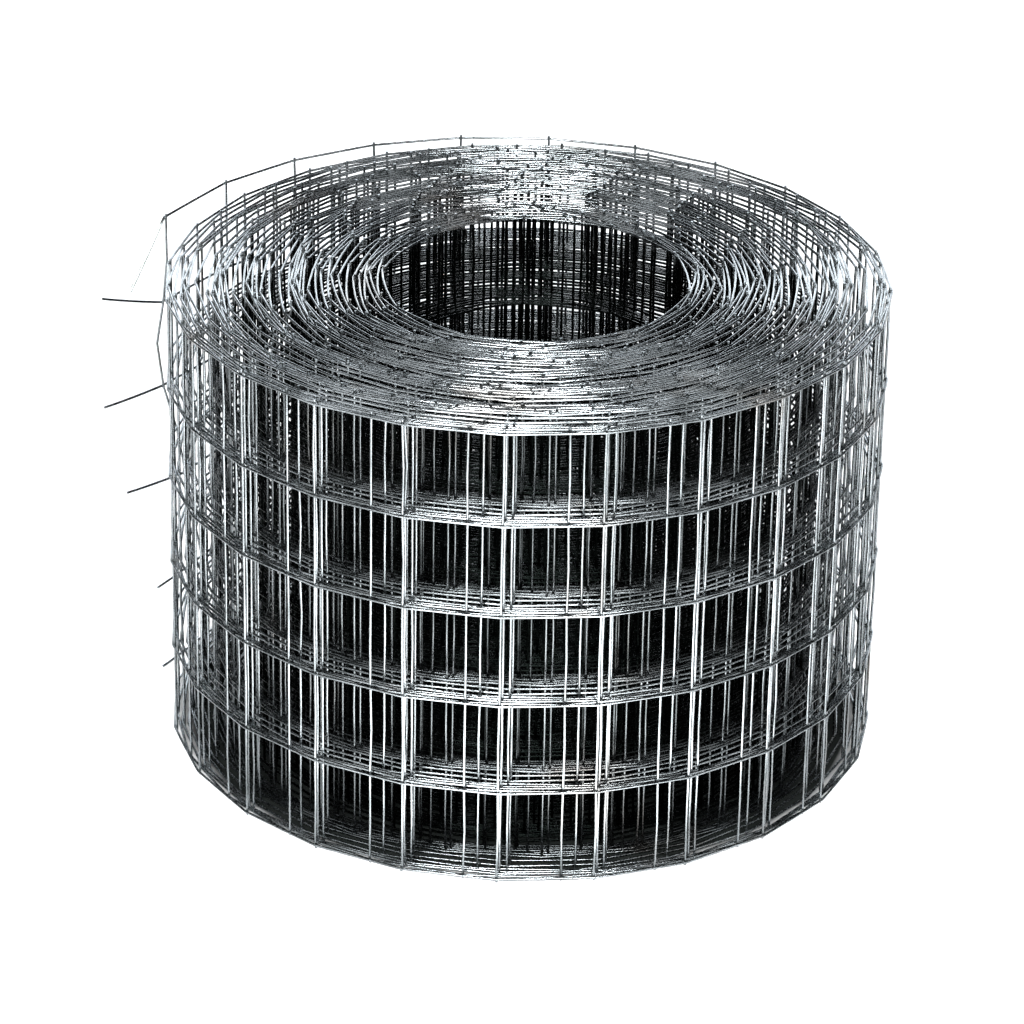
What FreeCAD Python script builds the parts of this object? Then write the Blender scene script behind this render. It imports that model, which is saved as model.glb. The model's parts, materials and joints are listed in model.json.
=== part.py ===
"""Roll of masonry reinforcing mesh: one length of welded wire mesh, wound into a roll that stands on its end.

Millimetres, +Z up. The origin is where the bore's axis meets the floor. The wound turns are one turned drum
with its bore, and a ring for each turn shows on both ends. The outermost turn stands off the drum on the +Y
side as open mesh, and its wires end on the -X side in six cut tails.
"""

import FreeCAD, Part
import Sketcher
import math
import os
from FreeCAD import Placement, Rotation, Vector

NODE = "mesh_roll"

# The driving dimensions, in millimetres, degrees and counts.
SIZES = {
    "wire_diameter": 1.4,
    "cell_size": 50.0,
    "cell_rows": 5,  # cells across the mesh, from its lower edge to its upper edge
    "edge_overhang": 1.5,  # of a cross wire past the line wire at each edge
    "bore_radius": 78.0,
    "drum_radius": 189.4,
    "turns": 41,
    "gap_depth": 10.0,  # of the ring gap between two turns, in each end
    "loose_lift": 10.0,  # how far the loose turn's own centre lies from the bore's axis
    "loose_cells": 11,  # cells round the loose turn, from where it leaves the drum to its last cross wire
    "weld_depth": 0.3,  # how far crossing wires are pressed into each other
}

# The cut tails from the lower edge up: length, turn outward from the wire's own line, and rise above level.
TAILS = (
    (12.0, -2.0, 5.0),
    (20.0, -2.0, 5.0),
    (45.0, 9.0, 14.0),
    (45.0, 20.0, 5.0),
    (45.0, 23.0, 21.0),
    (45.0, 22.0, -55.0),
)

# Sizes that follow from the driving ones, as formulas of the sheet.
FORMULAS = {
    "roll_height": "cell_size * cell_rows + wire_diameter + 2 * edge_overhang",
    "ring_width": "wire_diameter",
    "turn_pitch": "(drum_radius - bore_radius - ring_width) / (turns - 1)",
    "lower_wire_level": "edge_overhang + wire_diameter / 2",
    "loose_radius": "drum_radius + loose_lift",
    "cross_wire_radius": "loose_radius - wire_diameter + weld_depth",
    "loose_angle": "loose_cells * cell_size / loose_radius * 180 / pi",
}

doc = FreeCAD.newDocument("mesh_roll")
sheet = doc.addObject("Spreadsheet::Sheet", "sizes")
rows = [(name, str(value)) for name, value in SIZES.items()]
rows += [(name, "=" + formula) for name, formula in FORMULAS.items()]
for row, (name, content) in enumerate(rows, start=1):
    sheet.set(f"A{row}", name)
    sheet.set(f"B{row}", content)
    sheet.setAlias(f"B{row}", name)
doc.recompute()

body = doc.addObject("PartDesign::Body", "roll_body")
body.Label = NODE


def origin_plane(role):
    """The body's own origin plane, such as XZ_Plane."""
    return next(plane for plane in body.Origin.OriginFeatures if plane.Role == role)


def new_sketch(name, role):
    """An empty sketch of the body on one of its origin planes."""
    sketch = body.newObject("Sketcher::SketchObject", name)
    sketch.AttachmentSupport = (origin_plane(role), [""])
    sketch.MapMode = "FlatFace"
    return sketch


def datum(kind, name, mode):
    """A datum plane or line of the body, placed from the floor plane."""
    made = body.newObject(f"PartDesign::{kind}", name)
    made.AttachmentSupport = (origin_plane("XY_Plane"), [""])
    made.MapMode = mode
    return made


def dimension(sketch, kind, elements, name, formula):
    """A named dimension of the sketch that follows a formula of the sheet."""
    number = sketch.addConstraint(Sketcher.Constraint(kind, *elements, 1.0))
    sketch.renameConstraint(number, name)
    sketch.setExpression(f"Constraints.{name}", formula)


def rectangle(sketch, left, right, low, high):
    """A closed rectangle: its sides are the bottom, right, top and left, numbered from the one returned."""
    corners = [Vector(left, low), Vector(right, low), Vector(right, high), Vector(left, high)]
    first = sketch.GeometryCount
    for start, end in zip(corners, corners[1:] + corners[:1]):
        sketch.addGeometry(Part.LineSegment(start, end), False)
    for side in range(4):
        following = (side + 1) % 4
        sketch.addConstraint(Sketcher.Constraint("Coincident", first + side, 2, first + following, 1))
        level = "Vertical" if side % 2 else "Horizontal"
        sketch.addConstraint(Sketcher.Constraint(level, first + side))
    return first


def wire_square(sketch, across, up, across_formula, up_formula):
    """The four-sided section of one wire, placed by its lower left corner."""
    wire = sheet.get("wire_diameter")
    first = rectangle(sketch, across, across + wire, up, up + wire)
    dimension(sketch, "DistanceX", (first, 1, first, 2), "wire_width", "sizes.wire_diameter")
    dimension(sketch, "DistanceY", (first + 1, 1, first + 1, 2), "wire_height", "sizes.wire_diameter")
    dimension(sketch, "DistanceX", (-1, 1, first, 1), "across", across_formula)
    dimension(sketch, "DistanceY", (-1, 1, first, 1), "up", up_formula)


def feature(kind, name, **properties):
    """A feature of the body with its properties set."""
    made = body.newObject(f"PartDesign::{kind}", name)
    for key, value in properties.items():
        setattr(made, key, value)
    return made


# Drum: the wound turns as one turned solid with its bore.
drum_section = new_sketch("drum_section", "XZ_Plane")
side = rectangle(drum_section, sheet.get("bore_radius"), sheet.get("drum_radius"), 0, sheet.get("roll_height"))
drum_section.addConstraint(Sketcher.Constraint("PointOnObject", side, 1, -1))
dimension(drum_section, "DistanceX", (-1, 1, side, 1), "bore", "sizes.bore_radius")
dimension(drum_section, "DistanceX", (-1, 1, side, 2), "drum", "sizes.drum_radius")
dimension(drum_section, "DistanceY", (side + 1, 1, side + 1, 2), "tall", "sizes.roll_height")
drum = feature("Revolution", "drum", Profile=drum_section, ReferenceAxis=(drum_section, ["V_Axis"]), Angle=360)

# Ring gaps between the turns in the upper end, and the same ones mirrored into the lower end.
gap_section = new_sketch("gap_section", "XZ_Plane")
top = sheet.get("roll_height")
for turn in range(1, int(sheet.get("turns"))):
    outer = sheet.get("bore_radius") + turn * sheet.get("turn_pitch")
    inner = outer - sheet.get("turn_pitch") + sheet.get("ring_width")
    side = rectangle(gap_section, inner, outer, top - sheet.get("gap_depth"), top)
    following = f"sizes.bore_radius + {turn} * sizes.turn_pitch"
    dimension(gap_section, "DistanceX", (-1, 1, side, 2), f"outer_{turn}", following)
    dimension(gap_section, "DistanceX", (side, 1, side, 2), f"width_{turn}", "sizes.turn_pitch - sizes.ring_width")
    dimension(gap_section, "DistanceY", (-1, 1, side + 2, 1), f"top_{turn}", "sizes.roll_height")
    dimension(gap_section, "DistanceY", (side + 1, 1, side + 1, 2), f"depth_{turn}", "sizes.gap_depth")
upper_gaps = feature("Groove", "upper_gaps", Profile=gap_section, ReferenceAxis=(gap_section, ["V_Axis"]), Angle=360)

middle = datum("Plane", "middle", "FlatFace")
middle.setExpression("AttachmentOffset.Base.z", "sizes.roll_height / 2")
lower_gaps = feature("Mirrored", "lower_gaps", Originals=[upper_gaps], MirrorPlane=(middle, [""]))
body.Tip = lower_gaps

# Loose turn: its own circle touches the drum on the +X side and stands off it on the way to the -X side.
loose_axis = datum("Line", "loose_axis", "ObjectZ")
loose_axis.setExpression("AttachmentOffset.Base.x", "-sizes.loose_lift")
half_wire = sheet.get("wire_diameter") / 2
line_section = new_sketch("line_section", "XZ_Plane")
wire_square(
    line_section,
    sheet.get("drum_radius") - half_wire,
    sheet.get("edge_overhang"),
    "sizes.drum_radius - sizes.wire_diameter / 2",
    "sizes.edge_overhang",
)
line_wire = feature("Revolution", "line_wire", Profile=line_section, ReferenceAxis=(loose_axis, [""]))
line_wire.setExpression("Angle", "sizes.loose_angle")
line_wires = feature("LinearPattern", "line_wires", Originals=[line_wire], Direction=(line_section, ["V_Axis"]))
line_wires.setExpression("Length", "sizes.cell_size * sizes.cell_rows")
line_wires.setExpression("Occurrences", "sizes.cell_rows + 1")
body.Tip = line_wires

cross_section = new_sketch("cross_section", "XY_Plane")
wire_square(
    cross_section,
    sheet.get("cross_wire_radius") - sheet.get("loose_lift") - half_wire,
    -half_wire,
    "sizes.cross_wire_radius - sizes.loose_lift - sizes.wire_diameter / 2",
    "-sizes.wire_diameter / 2",
)
cross_wire = feature("Pad", "cross_wire", Profile=cross_section)
cross_wire.setExpression("Length", "sizes.roll_height")
cross_wires = feature("PolarPattern", "cross_wires", Originals=[cross_wire], Axis=(loose_axis, [""]))
cross_wires.setExpression("Angle", "sizes.loose_angle")
cross_wires.setExpression("Occurrences", "sizes.loose_cells + 1")
body.Tip = cross_wires

# Tails: each line wire runs on past the last cross wire to where it was cut, bent its own way.
end_angle = math.radians(sheet.get("loose_angle"))
end_x = sheet.get("loose_radius") * math.cos(end_angle) - sheet.get("loose_lift")
end_y = sheet.get("loose_radius") * math.sin(end_angle)
for row, (length, outward, rise) in enumerate(TAILS):
    heading = end_angle + math.pi / 2 - math.radians(outward)
    slope = math.radians(rise)
    along = Vector(math.cos(heading) * math.cos(slope), math.sin(heading) * math.cos(slope), math.sin(slope))
    level = sheet.get("lower_wire_level") + row * sheet.get("cell_size")
    start = Vector(end_x, end_y, level) - along * sheet.get("wire_diameter")
    tail = feature("AdditivePrism", f"tail_{row}", Polygon=4)
    tail.setExpression("Circumradius", "sizes.wire_diameter / sqrt(2)")
    tail.Height = length + sheet.get("wire_diameter")
    tail.Placement = Placement(start, Rotation(Vector(0, 0, 1), along))
doc.recompute()

failed = [item.Name for item in doc.Objects if {"Invalid", "Error"} & set(item.State)]
if failed:
    raise RuntimeError(f"not built: {failed}")
shape = body.Shape
if shape.isNull() or not shape.isValid() or len(shape.Solids) != 1:
    raise RuntimeError(f"{NODE} is not one valid solid")

os.makedirs("parts", exist_ok=True)
shape.exportStep(f"parts/{NODE}.step")
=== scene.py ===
"""Masonry mesh roll: winds a strip of welded wire mesh, wire by wire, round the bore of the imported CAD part.

The strip is laid out flat first, as a distance along it and a height across it. One plan curve then says
where each distance lies in the roll, and every wire, weld and cut tail is placed through that curve.
"""

import json
import math
import random

import bmesh
import bpy
import numpy as np
from bpy.props import FloatProperty, FloatVectorProperty, IntProperty, PointerProperty
from mathutils import Matrix, Vector, noise


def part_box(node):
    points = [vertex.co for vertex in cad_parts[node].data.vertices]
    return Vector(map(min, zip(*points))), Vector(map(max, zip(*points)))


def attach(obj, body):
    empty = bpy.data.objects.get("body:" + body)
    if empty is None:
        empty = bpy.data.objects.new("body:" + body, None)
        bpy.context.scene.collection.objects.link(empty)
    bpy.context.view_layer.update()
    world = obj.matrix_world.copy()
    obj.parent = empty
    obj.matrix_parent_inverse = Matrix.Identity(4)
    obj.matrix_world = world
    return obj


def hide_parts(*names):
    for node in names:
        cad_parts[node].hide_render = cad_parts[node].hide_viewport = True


bl_info = {
    "name": "Masonry Mesh Roll",
    "version": (1, 0, 0),
    "blender": (4, 5, 0),
    "location": "View3D > Sidebar > Mesh Roll",
    "description": "Winds a strip of welded masonry mesh into a roll, wire by wire",
    "category": "Add Mesh",
}

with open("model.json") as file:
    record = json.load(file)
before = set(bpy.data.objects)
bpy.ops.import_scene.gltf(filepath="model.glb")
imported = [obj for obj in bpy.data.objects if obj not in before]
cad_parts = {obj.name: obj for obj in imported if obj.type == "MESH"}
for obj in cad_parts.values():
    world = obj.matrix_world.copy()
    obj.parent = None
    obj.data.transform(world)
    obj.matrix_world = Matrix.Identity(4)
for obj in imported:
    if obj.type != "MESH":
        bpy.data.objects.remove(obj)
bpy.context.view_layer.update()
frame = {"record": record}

NODE = "mesh_roll"
BODY = "root"
MM = 0.001

LOW, HIGH = (Vector(corner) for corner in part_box(NODE))
BORE = next(mount for mount in frame["record"]["mounts"] if mount["name"] == "bore")
BORE_RADIUS = BORE["dims"]["r_mm"] * MM
DRUM_RADIUS = -LOW.y  # the drum alone reaches the -Y side of the box
ROLL_HEIGHT = HIGH.z

# The cut tails from the lower edge up: turn outward from the strip's own line and rise above level, both in
# degrees, and length in millimetres.
OUTER_TAILS = ((5, 0, 40), (5, 0, 43), (24, 0, 39), (21, 0, 41), (25, 18, 41), (22, -56, 44))
SAMPLES_PER_TURN = 120
CELL_STEPS = 4  # straight pieces of a line wire in one cell
OFF_CENTRE = 4 * MM  # how far the innermost turns lie off the bore's axis
SPRING_IN = 8 * MM  # how far the strip's inner end springs into the bore
LAST_CELL_EXTRA = 8 * MM  # the cell at the strip's outer end is this much longer than the others
PAINTED_SHADE_FULL_DEPTH = 36 * MM  # below the drum's outer turn, where the wires are wholly painted dark as shade
PAINTED_SHADE_START_DEPTH = 8 * MM  # below the drum's outer turn, down to where the wires carry no painted shade
RIM_PAINTED_SHADE_FULL = 9 * MM  # below the roll's upper edge, where the wires are wholly painted dark as shade
RIM_PAINTED_SHADE_START = 3 * MM  # below the roll's upper edge, down to where the wires carry no painted shade


def srgb(code):
    """A hex colour such as c8ccd0 as linear RGBA."""
    channels = [int(code[i : i + 2], 16) / 255 for i in (0, 2, 4)]
    linear = [c / 12.92 if c <= 0.04045 else ((c + 0.055) / 1.055) ** 2.4 for c in channels]
    return (*linear, 1.0)


class MeshRollStrip(bpy.types.PropertyGroup):
    """Sizes of the mesh strip and of the way it is wound."""

    wire: FloatProperty(
        name="Wire", description="Diameter of every wire", default=1.4 * MM, min=0.5 * MM, unit="LENGTH"
    )
    cell: FloatProperty(
        name="Cell", description="Distance between two neighbouring wires", default=50 * MM, unit="LENGTH"
    )
    rows: IntProperty(name="Rows", description="Cells across the strip", default=5, min=1)
    weld_depth: FloatProperty(
        name="Weld depth",
        description="How far crossing wires sink into each other",
        default=0.3 * MM,
        unit="LENGTH",
    )
    turns: FloatProperty(
        name="Turns", description="Turns from the inner end to where the strip comes loose", default=40.72
    )
    loose_lift: FloatProperty(
        name="Loose lift",
        description="Distance between the loose turn's own centre and the bore's axis",
        default=HIGH.y - DRUM_RADIUS - 0.6 * MM,
        unit="LENGTH",
    )
    loose_cells: IntProperty(name="Loose cells", description="Cells in the loose turn", default=11, min=1)
    bunching: FloatProperty(
        name="Bunching",
        description="How far turns wander from an even pitch",
        default=7.5 * MM,
        unit="LENGTH",
    )
    seed: IntProperty(name="Seed", description="Seed of the small bends in the wires", default=7)


class MeshRollFinish(bpy.types.PropertyGroup):
    """Colours of the steel."""

    bright: FloatVectorProperty(
        name="Bright steel", description="Clean drawn wire", subtype="COLOR", size=4, default=srgb("7c8082")
    )
    dull: FloatVectorProperty(
        name="Dull steel",
        description="Wire with a film of drawing soap",
        subtype="COLOR",
        size=4,
        default=srgb("565a5b"),
    )
    rust: FloatVectorProperty(
        name="First rust", description="Faint brown bloom", subtype="COLOR", size=4, default=srgb("6e6055")
    )
    # Painted shade: the near-black that the wires between the turns and just below the upper edge are painted
    # with, in place of the shade there.
    painted_shade: FloatVectorProperty(
        name="Painted shade",
        description="Near-black painted shade between the turns",
        subtype="COLOR",
        size=4,
        default=srgb("0c0f0e"),
    )
    weld: FloatVectorProperty(
        name="Weld", description="Heat-darkened spot weld", subtype="COLOR", size=4, default=srgb("25272a")
    )


class MeshRollStage(bpy.types.PropertyGroup):
    """Floor, light and camera."""

    floor: FloatVectorProperty(
        name="Floor", description="Pale floor", subtype="COLOR", size=4, default=srgb("f4f5f6")
    )
    shade: FloatVectorProperty(
        name="Shade", description="Floor below the roll", subtype="COLOR", size=4, default=srgb("1c1f1e")
    )
    distance: FloatProperty(name="Distance", description="Camera to roll", default=2.3867, unit="LENGTH")
    elevation: FloatProperty(
        name="Elevation", description="Camera above level", default=math.radians(26.415), subtype="ANGLE"
    )
    roll: FloatProperty(
        name="Roll", description="Camera's own tilt", default=math.radians(0.984), subtype="ANGLE"
    )
    lens: FloatProperty(name="Lens", description="Focal length in millimetres", default=156.46)


def strip_sizes():
    return bpy.context.scene.mesh_roll_strip


# ---------------------------------------------------------------- the wound strip


class Winding:
    """Plan of the wound strip: where each distance along it lies, seen from above."""

    def __init__(self, sizes):
        self.sizes = sizes
        wound, loose = self.wound_radii(sizes), self.loose_points(sizes)
        angles = np.linspace(-sizes.turns, 0, len(wound)) * 2 * math.pi
        drum = np.column_stack((wound * np.cos(angles), wound * np.sin(angles)))
        self.points = np.vstack((drum, loose[1:]))
        steps = np.linalg.norm(np.diff(self.points, axis=0), axis=1)
        self.run = np.concatenate(([0.0], np.cumsum(steps)))
        self.length = self.run[-1]
        count = int(self.length / sizes.cell)
        last = self.length - LAST_CELL_EXTRA
        self.crossings = [last - sizes.cell * back for back in range(count - 1, 0, -1)] + [self.length]

    def wound_radii(self, sizes):
        """Radius of the line wires at each step of the drum's turns, from the inner end outwards."""
        inner = BORE_RADIUS + 1.5 * sizes.wire - sizes.weld_depth
        count = int(round(sizes.turns * SAMPLES_PER_TURN)) + 1
        left = np.linspace(sizes.turns, 0, count)  # turns left to where the strip comes loose
        share = left**2 / (left + 0.5) * (sizes.turns + 0.5) / sizes.turns**2
        radii = DRUM_RADIUS - (DRUM_RADIUS - inner) * share
        for step in range(count):
            radii[step] += self.wander(sizes, share[step], -left[step] * 2 * math.pi)
        closest = sizes.wire
        for step in range(count - 1, SAMPLES_PER_TURN - 1, -1):
            below = step - SAMPLES_PER_TURN
            radii[below] = min(radii[below], radii[step] - closest)
        return radii

    @staticmethod
    def wander(sizes, share, angle):
        """How far a turn lies from its even place: turns bunch in groups that change round the roll."""
        depth = share * (DRUM_RADIUS - BORE_RADIUS)
        around = (math.cos(angle) * 1.1, math.sin(angle) * 1.1)
        groups = noise.noise(Vector((depth / (13 * MM), *around)))
        pairs = noise.noise(Vector((depth / (6 * MM) + 40, *around))) * 0.3
        fade = min(1.0, 12 * share, 8 * (1 - share))
        off_centre = OFF_CENTRE * math.cos(angle) * share
        spring_in = SPRING_IN * max(0.0, 1 - (1 - share) * sizes.turns * 6) ** 2
        return sizes.bunching * (groups + pairs) * fade + off_centre - spring_in

    @staticmethod
    def loose_points(sizes):
        """The loose turn is a round of its own, off the bore's axis."""
        radius = DRUM_RADIUS + sizes.loose_lift
        end = sizes.loose_cells * sizes.cell / radius
        angles = np.linspace(0, end, 60)
        return np.column_stack((radius * np.cos(angles) - sizes.loose_lift, radius * np.sin(angles)))

    def at(self, distance):
        """The point at a distance along the strip, on the line wires' centre."""
        return Vector([np.interp(distance, self.run, self.points[:, axis]) for axis in (0, 1)])

    def along(self, distance):
        """Direction of the strip, towards its outer end."""
        near = 2 * MM
        low, high = max(0.0, distance - near), min(self.length, distance + near)
        return (self.at(high) - self.at(low)).normalized()

    def place(self, distance, height, inward=0.0):
        """A point of the strip in the roll, set inward from the line wires' centre."""
        point, along = self.at(distance), self.along(distance)
        outward = Vector((along.y, -along.x))
        set_in = inward + self.hug(point, distance, height) - self.end_bow(distance, height)
        flat = point - outward * set_in
        return Vector((flat.x, flat.y, height))

    def hug(self, point, distance, height):
        """The loose turn stands off the drum at its upper edge, and lies against it at its lower one."""
        if distance < self.length - self.sizes.loose_cells * self.sizes.cell:
            return 0.0
        low = min(1.0, max(0.0, 2 - (height - self.sizes.cell) / self.sizes.cell) / 2)
        return 0.95 * low * (point.length - DRUM_RADIUS)

    def end_bow(self, distance, height):
        """The last cross wire is bent outwards between its fourth and fifth line wires."""
        near_end = max(0.0, 1 - (self.length - distance) / self.sizes.cell) ** 2
        off = (height - 3.5 * self.sizes.cell) / (28 * MM)
        return 7 * MM * near_end * math.exp(-off * off)

    def row_height(self, row):
        overhang = (ROLL_HEIGHT - self.sizes.rows * self.sizes.cell) / 2
        return overhang + row * self.sizes.cell


# ---------------------------------------------------------------- making pieces


def add_piece(name, mesh, material):
    """A finished piece of the roll at the origin, with its finish and its place in the frame."""
    piece = bpy.data.objects.new(name, mesh)
    bpy.context.collection.objects.link(piece)
    mesh.materials.clear()
    mesh.materials.append(material)
    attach(piece, BODY)
    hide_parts(NODE)
    return piece


def round_wires(name, routes, radius):
    """One mesh of six-sided round wires, each along its own route and closed at both ends."""
    curve = bpy.data.curves.new(name, "CURVE")
    curve.dimensions = "3D"
    curve.bevel_depth = radius
    curve.bevel_resolution = 1
    curve.use_fill_caps = True
    for route in routes:
        spline = curve.splines.new("POLY")
        spline.points.add(len(route) - 1)
        spline.points.foreach_set("co", [value for point in route for value in (*point, 1.0)])
    rig = bpy.data.objects.new(name, curve)
    mesh = bpy.data.meshes.new_from_object(rig)
    mesh.name = name
    bpy.data.objects.remove(rig)
    bpy.data.curves.remove(curve)
    return mesh


def line_route(winding, row):
    """Centre line of one line wire: nearly straight from weld to weld outside, rounder near the bore."""
    height = winding.row_height(row)
    route = []
    for start, end in zip(winding.crossings, winding.crossings[1:]):
        first, last = winding.place(start, height), winding.place(end, height)
        reach = (first.xy.length - BORE_RADIUS) / (DRUM_RADIUS - BORE_RADIUS)
        straight = 0.5 + 0.4 * min(1.0, max(0.0, reach))
        for step in range(CELL_STEPS):
            share = step / CELL_STEPS
            bent = winding.place(start + (end - start) * share, height)
            route.append(bent.lerp(first.lerp(last, share), straight))
    route.append(winding.place(winding.crossings[-1], height))
    return inner_tail(winding, row) + route + outer_tail(winding, row)


def outer_tail(winding, row):
    """The cut tail past the last cross wire, bent off the strip's own line."""
    outward, rise = (math.radians(angle) for angle in OUTER_TAILS[row][:2])
    start = winding.place(winding.length, winding.row_height(row))
    along = winding.along(winding.length)
    heading = math.atan2(along.y, along.x) - outward
    way = Vector((math.cos(heading) * math.cos(rise), math.sin(heading) * math.cos(rise), math.sin(rise)))
    sag = Vector((0, 0, -0.4 * MM))
    tail = OUTER_TAILS[row][2] * MM
    shares = (0.1, 0.3, 0.5, 0.7, 0.85, 1.0)
    return [start + way * tail * share + sag * 4 * share * (1 - share) for share in shares]


def inner_tail(winding, row):
    """The short tail at the strip's inner end; the top one is hooked down."""
    start = winding.place(winding.crossings[0], winding.row_height(row))
    along = winding.along(winding.crossings[0])
    away = Vector((-along.x, -along.y, 0))
    inward = Vector((-start.x, -start.y, 0)).normalized()
    if row == winding.sizes.rows:
        corner = start + away * 26 * MM + inward * 2 * MM
        drop = corner + Vector((0, 0, -9 * MM)) + inward * 1 * MM
        bend = corner + away * 0.4 * MM + Vector((0, 0, -2 * MM))
        hook = [drop - away * 3 * MM, drop, bend, corner - away * 2 * MM]
        return hook + [start + away * 14 * MM - inward * 1 * MM]
    return [start + away * 32 * MM + inward * 3 * MM, start + away * 15 * MM + inward * 0.5 * MM]


def cross_route(winding, distance, bends):
    """Centre line of one cross wire, from its lower end up, a little bent between the line wires."""
    sizes = winding.sizes
    inward = sizes.wire - sizes.weld_depth
    lean = bends.gauss(0, 0.3 * MM)
    route = [winding.place(distance, 0, inward)]
    for row in range(sizes.rows + 1):
        height = winding.row_height(row)
        route.append(winding.place(distance + lean * (row - 2.5) / 2.5, height, inward))
        if row < sizes.rows:
            shift, bulge = bends.gauss(0, 0.25 * MM), bends.gauss(0, 0.3 * MM)
            route.append(winding.place(distance + shift, height + sizes.cell / 2, inward + bulge))
    route.append(winding.place(distance + lean, ROLL_HEIGHT, inward))
    return route


def weld_beads(winding):
    """A small flattened bead at every crossing."""
    sizes = winding.sizes
    beads = bmesh.new()
    for distance in winding.crossings:
        along = winding.along(distance)
        turn = Matrix(((along.x, along.y, 0), (along.y, -along.x, 0), (0, 0, 1))).to_4x4()
        for row in range(sizes.rows + 1):
            middle = winding.place(distance, winding.row_height(row), (sizes.wire - sizes.weld_depth) / 2)
            shape = Matrix.Translation(middle) @ turn @ Matrix.Diagonal((1.0, 1.15, 1.0, 1.0))
            bmesh.ops.create_icosphere(beads, subdivisions=1, radius=sizes.wire * 0.72, matrix=shape)
    mesh = bpy.data.meshes.new("weld_beads")
    beads.to_mesh(mesh)
    beads.free()
    mesh.shade_smooth()
    return mesh


# ---------------------------------------------------------------- finishes


def add_node(tree, kind, links=None, **settings):
    """One node with its settings; links maps an input's name or number to the output that feeds it."""
    node = tree.nodes.new(f"ShaderNode{kind}")
    for key, value in settings.items():
        setattr(node, key, value)
    for key, source in (links or {}).items():
        if isinstance(source, bpy.types.NodeSocket):
            tree.links.new(source, node.inputs[key])
        else:
            node.inputs[key].default_value = source
    return node


def new_material(name):
    material = bpy.data.materials.new(name)
    material.use_nodes = True
    material.node_tree.nodes.clear()
    return material


def clear_of_painted_shade(tree, place):
    """Mask of the painted shade: 1 on the roll's outside and along its upper edge, 0 between the turns, where
    the wires are painted near-black in place of shade.
    """
    flat = add_node(tree, "VectorMath", {0: place, 1: (1, 1, 0)}, operation="MULTIPLY")
    radius = add_node(tree, "VectorMath", {0: flat.outputs["Vector"]}, operation="LENGTH")
    turns = {"From Min": DRUM_RADIUS - PAINTED_SHADE_FULL_DEPTH, "From Max": DRUM_RADIUS - PAINTED_SHADE_START_DEPTH}
    outside = add_node(tree, "MapRange", {"Value": radius.outputs["Value"], **turns})
    height = add_node(tree, "SeparateXYZ", {"Vector": place}).outputs["Z"]
    rim = {"From Min": ROLL_HEIGHT - RIM_PAINTED_SHADE_FULL, "From Max": ROLL_HEIGHT - RIM_PAINTED_SHADE_START}
    above = add_node(tree, "MapRange", {"Value": height, **rim})
    sides = {0: outside.outputs["Result"], 1: above.outputs["Result"]}
    return add_node(tree, "Math", sides, operation="MAXIMUM").outputs["Value"]


def drawn_steel_wire():
    """Low-carbon wire, cold drawn through a die: a hard gloss, dull soap film, a first brown bloom."""
    colours = bpy.context.scene.mesh_roll_finish
    material = new_material("drawn_steel_wire")
    tree = material.node_tree
    place = add_node(tree, "TexCoord").outputs["Object"]
    # Film and bloom change over a few centimetres of wire, the drawing marks over a fraction of a millimetre.
    film = add_node(tree, "TexNoise", {"Vector": place, "Scale": 1 / (24 * MM), "Detail": 3.0})
    bloom = add_node(tree, "TexNoise", {"Vector": place, "Scale": 1 / (60 * MM), "Detail": 4.0})
    marks = add_node(tree, "TexNoise", {"Vector": place, "Scale": 1 / (0.8 * MM), "Detail": 2.0})
    film_share = add_node(tree, "MapRange", {"Value": film.outputs["Fac"], "From Min": 0.4, "From Max": 0.7})
    bloom_share = add_node(
        tree, "MapRange", {"Value": bloom.outputs["Fac"], "From Min": 0.58, "From Max": 0.8, "To Max": 0.5}
    )
    steel = add_node(
        tree,
        "Mix",
        {"Factor": film_share.outputs["Result"], 6: colours.bright, 7: colours.dull},
        data_type="RGBA",
    )
    tint = {"Factor": bloom_share.outputs["Result"], 6: steel.outputs[2], 7: colours.rust}
    tinted = add_node(tree, "Mix", tint, data_type="RGBA")
    # Painted shade: between the turns and below the upper edge the steel colour is mixed towards near-black,
    # standing in for shade.
    painted_shade = {"Factor": clear_of_painted_shade(tree, place), 6: colours.painted_shade, 7: tinted.outputs[2]}
    painted_shade_mix = add_node(tree, "Mix", painted_shade, data_type="RGBA")
    spread = {"From Min": 0.3, "From Max": 0.7, "To Min": 0.18, "To Max": 0.32}
    rough = add_node(tree, "MapRange", {"Value": marks.outputs["Fac"], **spread})
    bump = add_node(tree, "Bump", {"Height": marks.outputs["Fac"], "Strength": 0.25, "Distance": 0.05 * MM})
    shader = add_node(
        tree,
        "BsdfPrincipled",
        {
            "Base Color": painted_shade_mix.outputs[2],
            "Metallic": 1.0,
            "Roughness": rough.outputs["Result"],
            "Normal": bump.outputs["Normal"],
        },
    )
    add_node(tree, "OutputMaterial", {"Surface": shader.outputs["BSDF"]})
    return material


def spot_weld():
    """Resistance weld: steel squeezed soft and left dark by the heat."""
    colours = bpy.context.scene.mesh_roll_finish
    material = new_material("spot_weld")
    tree = material.node_tree
    place = add_node(tree, "TexCoord").outputs["Object"]
    scale = add_node(tree, "TexNoise", {"Vector": place, "Scale": 1 / (1.5 * MM), "Detail": 2.0})
    rough = add_node(tree, "MapRange", {"Value": scale.outputs["Fac"], "To Min": 0.35, "To Max": 0.65})
    burn = {"Factor": scale.outputs["Fac"], 6: colours.weld, 7: colours.dull}
    colour = add_node(tree, "Mix", burn, data_type="RGBA")
    # Painted shade: the welds between the turns and below the upper edge are mixed towards the same
    # near-black, standing in for shade.
    painted_shade = {"Factor": clear_of_painted_shade(tree, place), 6: colours.painted_shade, 7: colour.outputs[2]}
    painted_shade_mix = add_node(tree, "Mix", painted_shade, data_type="RGBA")
    shader = add_node(
        tree,
        "BsdfPrincipled",
        {"Base Color": painted_shade_mix.outputs[2], "Metallic": 1.0, "Roughness": rough.outputs["Result"]},
    )
    add_node(tree, "OutputMaterial", {"Surface": shader.outputs["BSDF"]})
    return material


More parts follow.
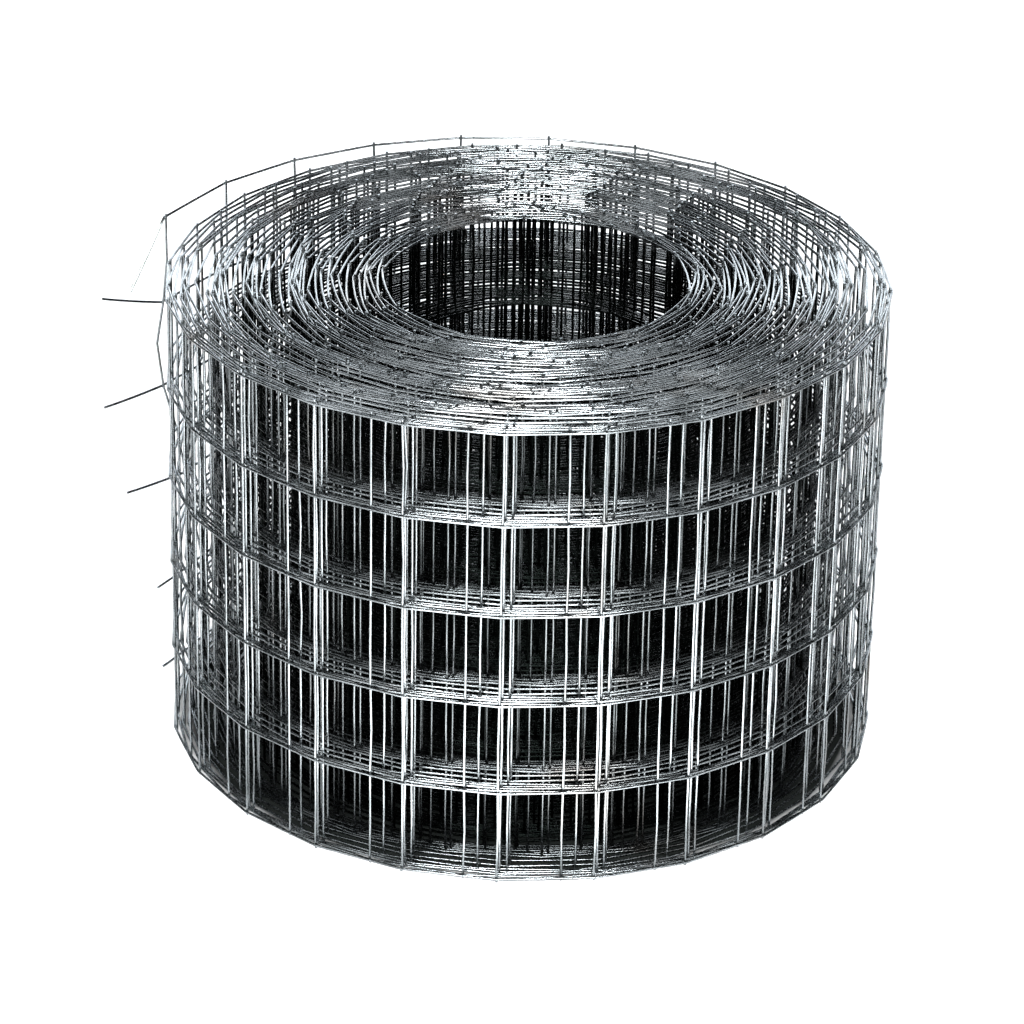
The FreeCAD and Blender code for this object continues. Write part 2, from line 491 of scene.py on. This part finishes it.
def pale_floor():
    """Matt studio floor, lit a little from within and dark below the roll."""
    material = new_material("pale_floor")
    tree = material.node_tree
    place = add_node(tree, "TexCoord").outputs["Object"]
    grain = add_node(tree, "TexNoise", {"Vector": place, "Scale": 1 / (3 * MM), "Detail": 2.0})
    bump = add_node(tree, "Bump", {"Height": grain.outputs["Fac"], "Strength": 0.03, "Distance": 0.2 * MM})
    # The wires keep the light from the floor below the roll, so it is dark there.
    radius = add_node(tree, "VectorMath", {0: place}, operation="LENGTH").outputs["Value"]
    lit = add_node(
        tree, "MapRange", {"Value": radius, "From Min": DRUM_RADIUS - 12 * MM, "From Max": DRUM_RADIUS}
    ).outputs["Result"]
    stage = bpy.context.scene.mesh_roll_stage
    colour = add_node(tree, "Mix", {"Factor": lit, 6: stage.shade, 7: stage.floor}, data_type="RGBA")
    glow = add_node(tree, "MapRange", {"Value": lit, "To Max": 0.12})
    shader = add_node(
        tree,
        "BsdfPrincipled",
        {
            "Base Color": colour.outputs[2],
            "Roughness": 0.9,
            "Specular IOR Level": 0.1,
            "Emission Color": (1, 1, 1, 1),
            "Emission Strength": glow.outputs["Result"],
            "Normal": bump.outputs["Normal"],
        },
    )
    add_node(tree, "OutputMaterial", {"Surface": shader.outputs["BSDF"]})
    return material


# ---------------------------------------------------------------- operators


class MESH_OT_roll_line_wires(bpy.types.Operator):
    """Add the line wires, which run along the strip and wind with it"""

    bl_idname = "mesh_roll.line_wires"
    bl_label = "Line Wires"

    def execute(self, context):
        sizes = strip_sizes()
        winding = Winding(sizes)
        steel = drawn_steel_wire()
        for row in range(sizes.rows + 1):
            mesh = round_wires(f"line_wire_{row}", [line_route(winding, row)], sizes.wire / 2)
            add_piece(f"line_wire_{row}", mesh, steel)
        return {"FINISHED"}


class MESH_OT_roll_cross_wires(bpy.types.Operator):
    """Add the cross wires, which stand upright inside the line wires"""

    bl_idname = "mesh_roll.cross_wires"
    bl_label = "Cross Wires"

    def execute(self, context):
        sizes = strip_sizes()
        winding = Winding(sizes)
        bends = random.Random(sizes.seed)
        routes = [cross_route(winding, distance, bends) for distance in winding.crossings]
        add_piece("cross_wires", round_wires("cross_wires", routes, sizes.wire / 2), drawn_steel_wire())
        return {"FINISHED"}


class MESH_OT_roll_weld_beads(bpy.types.Operator):
    """Add the weld beads, one at every crossing"""

    bl_idname = "mesh_roll.weld_beads"
    bl_label = "Weld Beads"

    def execute(self, context):
        add_piece("weld_beads", weld_beads(Winding(strip_sizes())), spot_weld())
        return {"FINISHED"}


def area_light(name, place, target, size, power, colour=(1, 1, 1)):
    """A soft box aimed at a point."""
    data = bpy.data.lights.new(name, "AREA")
    data.shape = "RECTANGLE"
    data.size, data.size_y = size
    data.energy = power
    data.color = colour
    light = bpy.data.objects.new(name, data)
    light.location = place
    light.rotation_euler = (Vector(target) - Vector(place)).to_track_quat("-Z", "Y").to_euler()
    bpy.context.collection.objects.link(light)
    return light


class SCENE_OT_roll_stage(bpy.types.Operator):
    """Add the floor, the lights and the camera"""

    bl_idname = "mesh_roll.stage"
    bl_label = "Stage"

    def execute(self, context):
        self.add_floor()
        self.add_lights(context.scene)
        self.add_camera(context.scene)
        context.scene.view_settings.view_transform = "Standard"
        context.scene.view_settings.look = "Medium High Contrast"
        return {"FINISHED"}

    def add_floor(self):
        grid = bmesh.new()
        bmesh.ops.create_grid(grid, x_segments=4, y_segments=4, size=12.0)
        mesh = bpy.data.meshes.new("floor")
        grid.to_mesh(mesh)
        grid.free()
        mesh.materials.append(pale_floor())
        floor = bpy.data.objects.new("floor", mesh)
        bpy.context.collection.objects.link(floor)

    def add_lights(self, scene):
        middle = (0, 0, ROLL_HEIGHT / 2)
        area_light("key_box", (-0.05, -2.7, 1.75), middle, (2.8, 0.55), 360)
        area_light("left_box", (-2.4, -1.4, 1.5), middle, (1.8, 1.3), 36)
        area_light("right_box", (2.4, -1.2, 1.4), middle, (1.8, 1.3), 32)
        area_light("back_box", (0.1, 3.0, 0.95), middle, (3.6, 1.2), 75, (0.9, 0.95, 1.0))
        bounce = area_light("bounce_card", (0, -0.48, 0.002), (0, -0.48, 1), (0.34, 0.54), 5.4)
        bounce.visible_camera = False
        world = bpy.data.worlds.new("room")
        world.use_nodes = True
        tree = world.node_tree
        tree.nodes.clear()
        way = add_node(tree, "TexCoord").outputs["Generated"]
        height = add_node(tree, "SeparateXYZ", {"Vector": way}).outputs["Z"]
        share = add_node(tree, "MapRange", {"Value": height, "From Min": -0.1, "From Max": 0.25})
        sky = add_node(
            tree,
            "Mix",
            {"Factor": share.outputs["Result"], 6: srgb("050606"), 7: srgb("2a2c2e")},
            data_type="RGBA",
        )
        light = add_node(tree, "Background", {"Color": sky.outputs[2], "Strength": 0.7})
        add_node(tree, "OutputWorld", {"Surface": light.outputs["Background"]})
        scene.world = world

    def add_camera(self, scene):
        stage = scene.mesh_roll_stage
        target = Vector((-6.03, 9.5, 112.1)) * MM
        back = Vector((0, -math.cos(stage.elevation), math.sin(stage.elevation)))
        right = Vector((1, 0, 0))
        up = back.cross(right)
        turned = Matrix((right, up, back)).transposed() @ Matrix.Rotation(stage.roll, 3, "Z")
        data = bpy.data.cameras.new("camera")
        data.lens = stage.lens
        data.sensor_width = 36
        camera = bpy.data.objects.new("camera", data)
        camera.matrix_world = Matrix.Translation(target + back * stage.distance) @ turned.to_4x4()
        bpy.context.collection.objects.link(camera)
        scene.camera = camera


class VIEW3D_PT_mesh_roll(bpy.types.Panel):
    """Sidebar panel with the roll's sizes, finishes and steps"""

    bl_idname = "VIEW3D_PT_mesh_roll"
    bl_label = "Mesh Roll"
    bl_space_type = "VIEW_3D"
    bl_region_type = "UI"
    bl_category = "Mesh Roll"

    def draw(self, context):
        for group in GROUPS:
            settings = getattr(context.scene, GROUPS[group])
            box = self.layout.box()
            for name in group.__annotations__:
                box.prop(settings, name)
        for operator in STEPS:
            self.layout.operator(operator.bl_idname)


GROUPS = {
    MeshRollStrip: "mesh_roll_strip",
    MeshRollFinish: "mesh_roll_finish",
    MeshRollStage: "mesh_roll_stage",
}
STEPS = (MESH_OT_roll_line_wires, MESH_OT_roll_cross_wires, MESH_OT_roll_weld_beads, SCENE_OT_roll_stage)


def register():
    for group, name in GROUPS.items():
        bpy.utils.register_class(group)
        setattr(bpy.types.Scene, name, PointerProperty(type=group))
    for step in STEPS:
        bpy.utils.register_class(step)
    bpy.utils.register_class(VIEW3D_PT_mesh_roll)


def unregister():
    bpy.utils.unregister_class(VIEW3D_PT_mesh_roll)
    for step in reversed(STEPS):
        bpy.utils.unregister_class(step)
    for group, name in reversed(GROUPS.items()):
        delattr(bpy.types.Scene, name)
        bpy.utils.unregister_class(group)


def main():
    register()
    bpy.ops.mesh_roll.line_wires()
    bpy.ops.mesh_roll.cross_wires()
    bpy.ops.mesh_roll.weld_beads()
    bpy.ops.mesh_roll.stage()


if __name__ == "__main__":
    main()
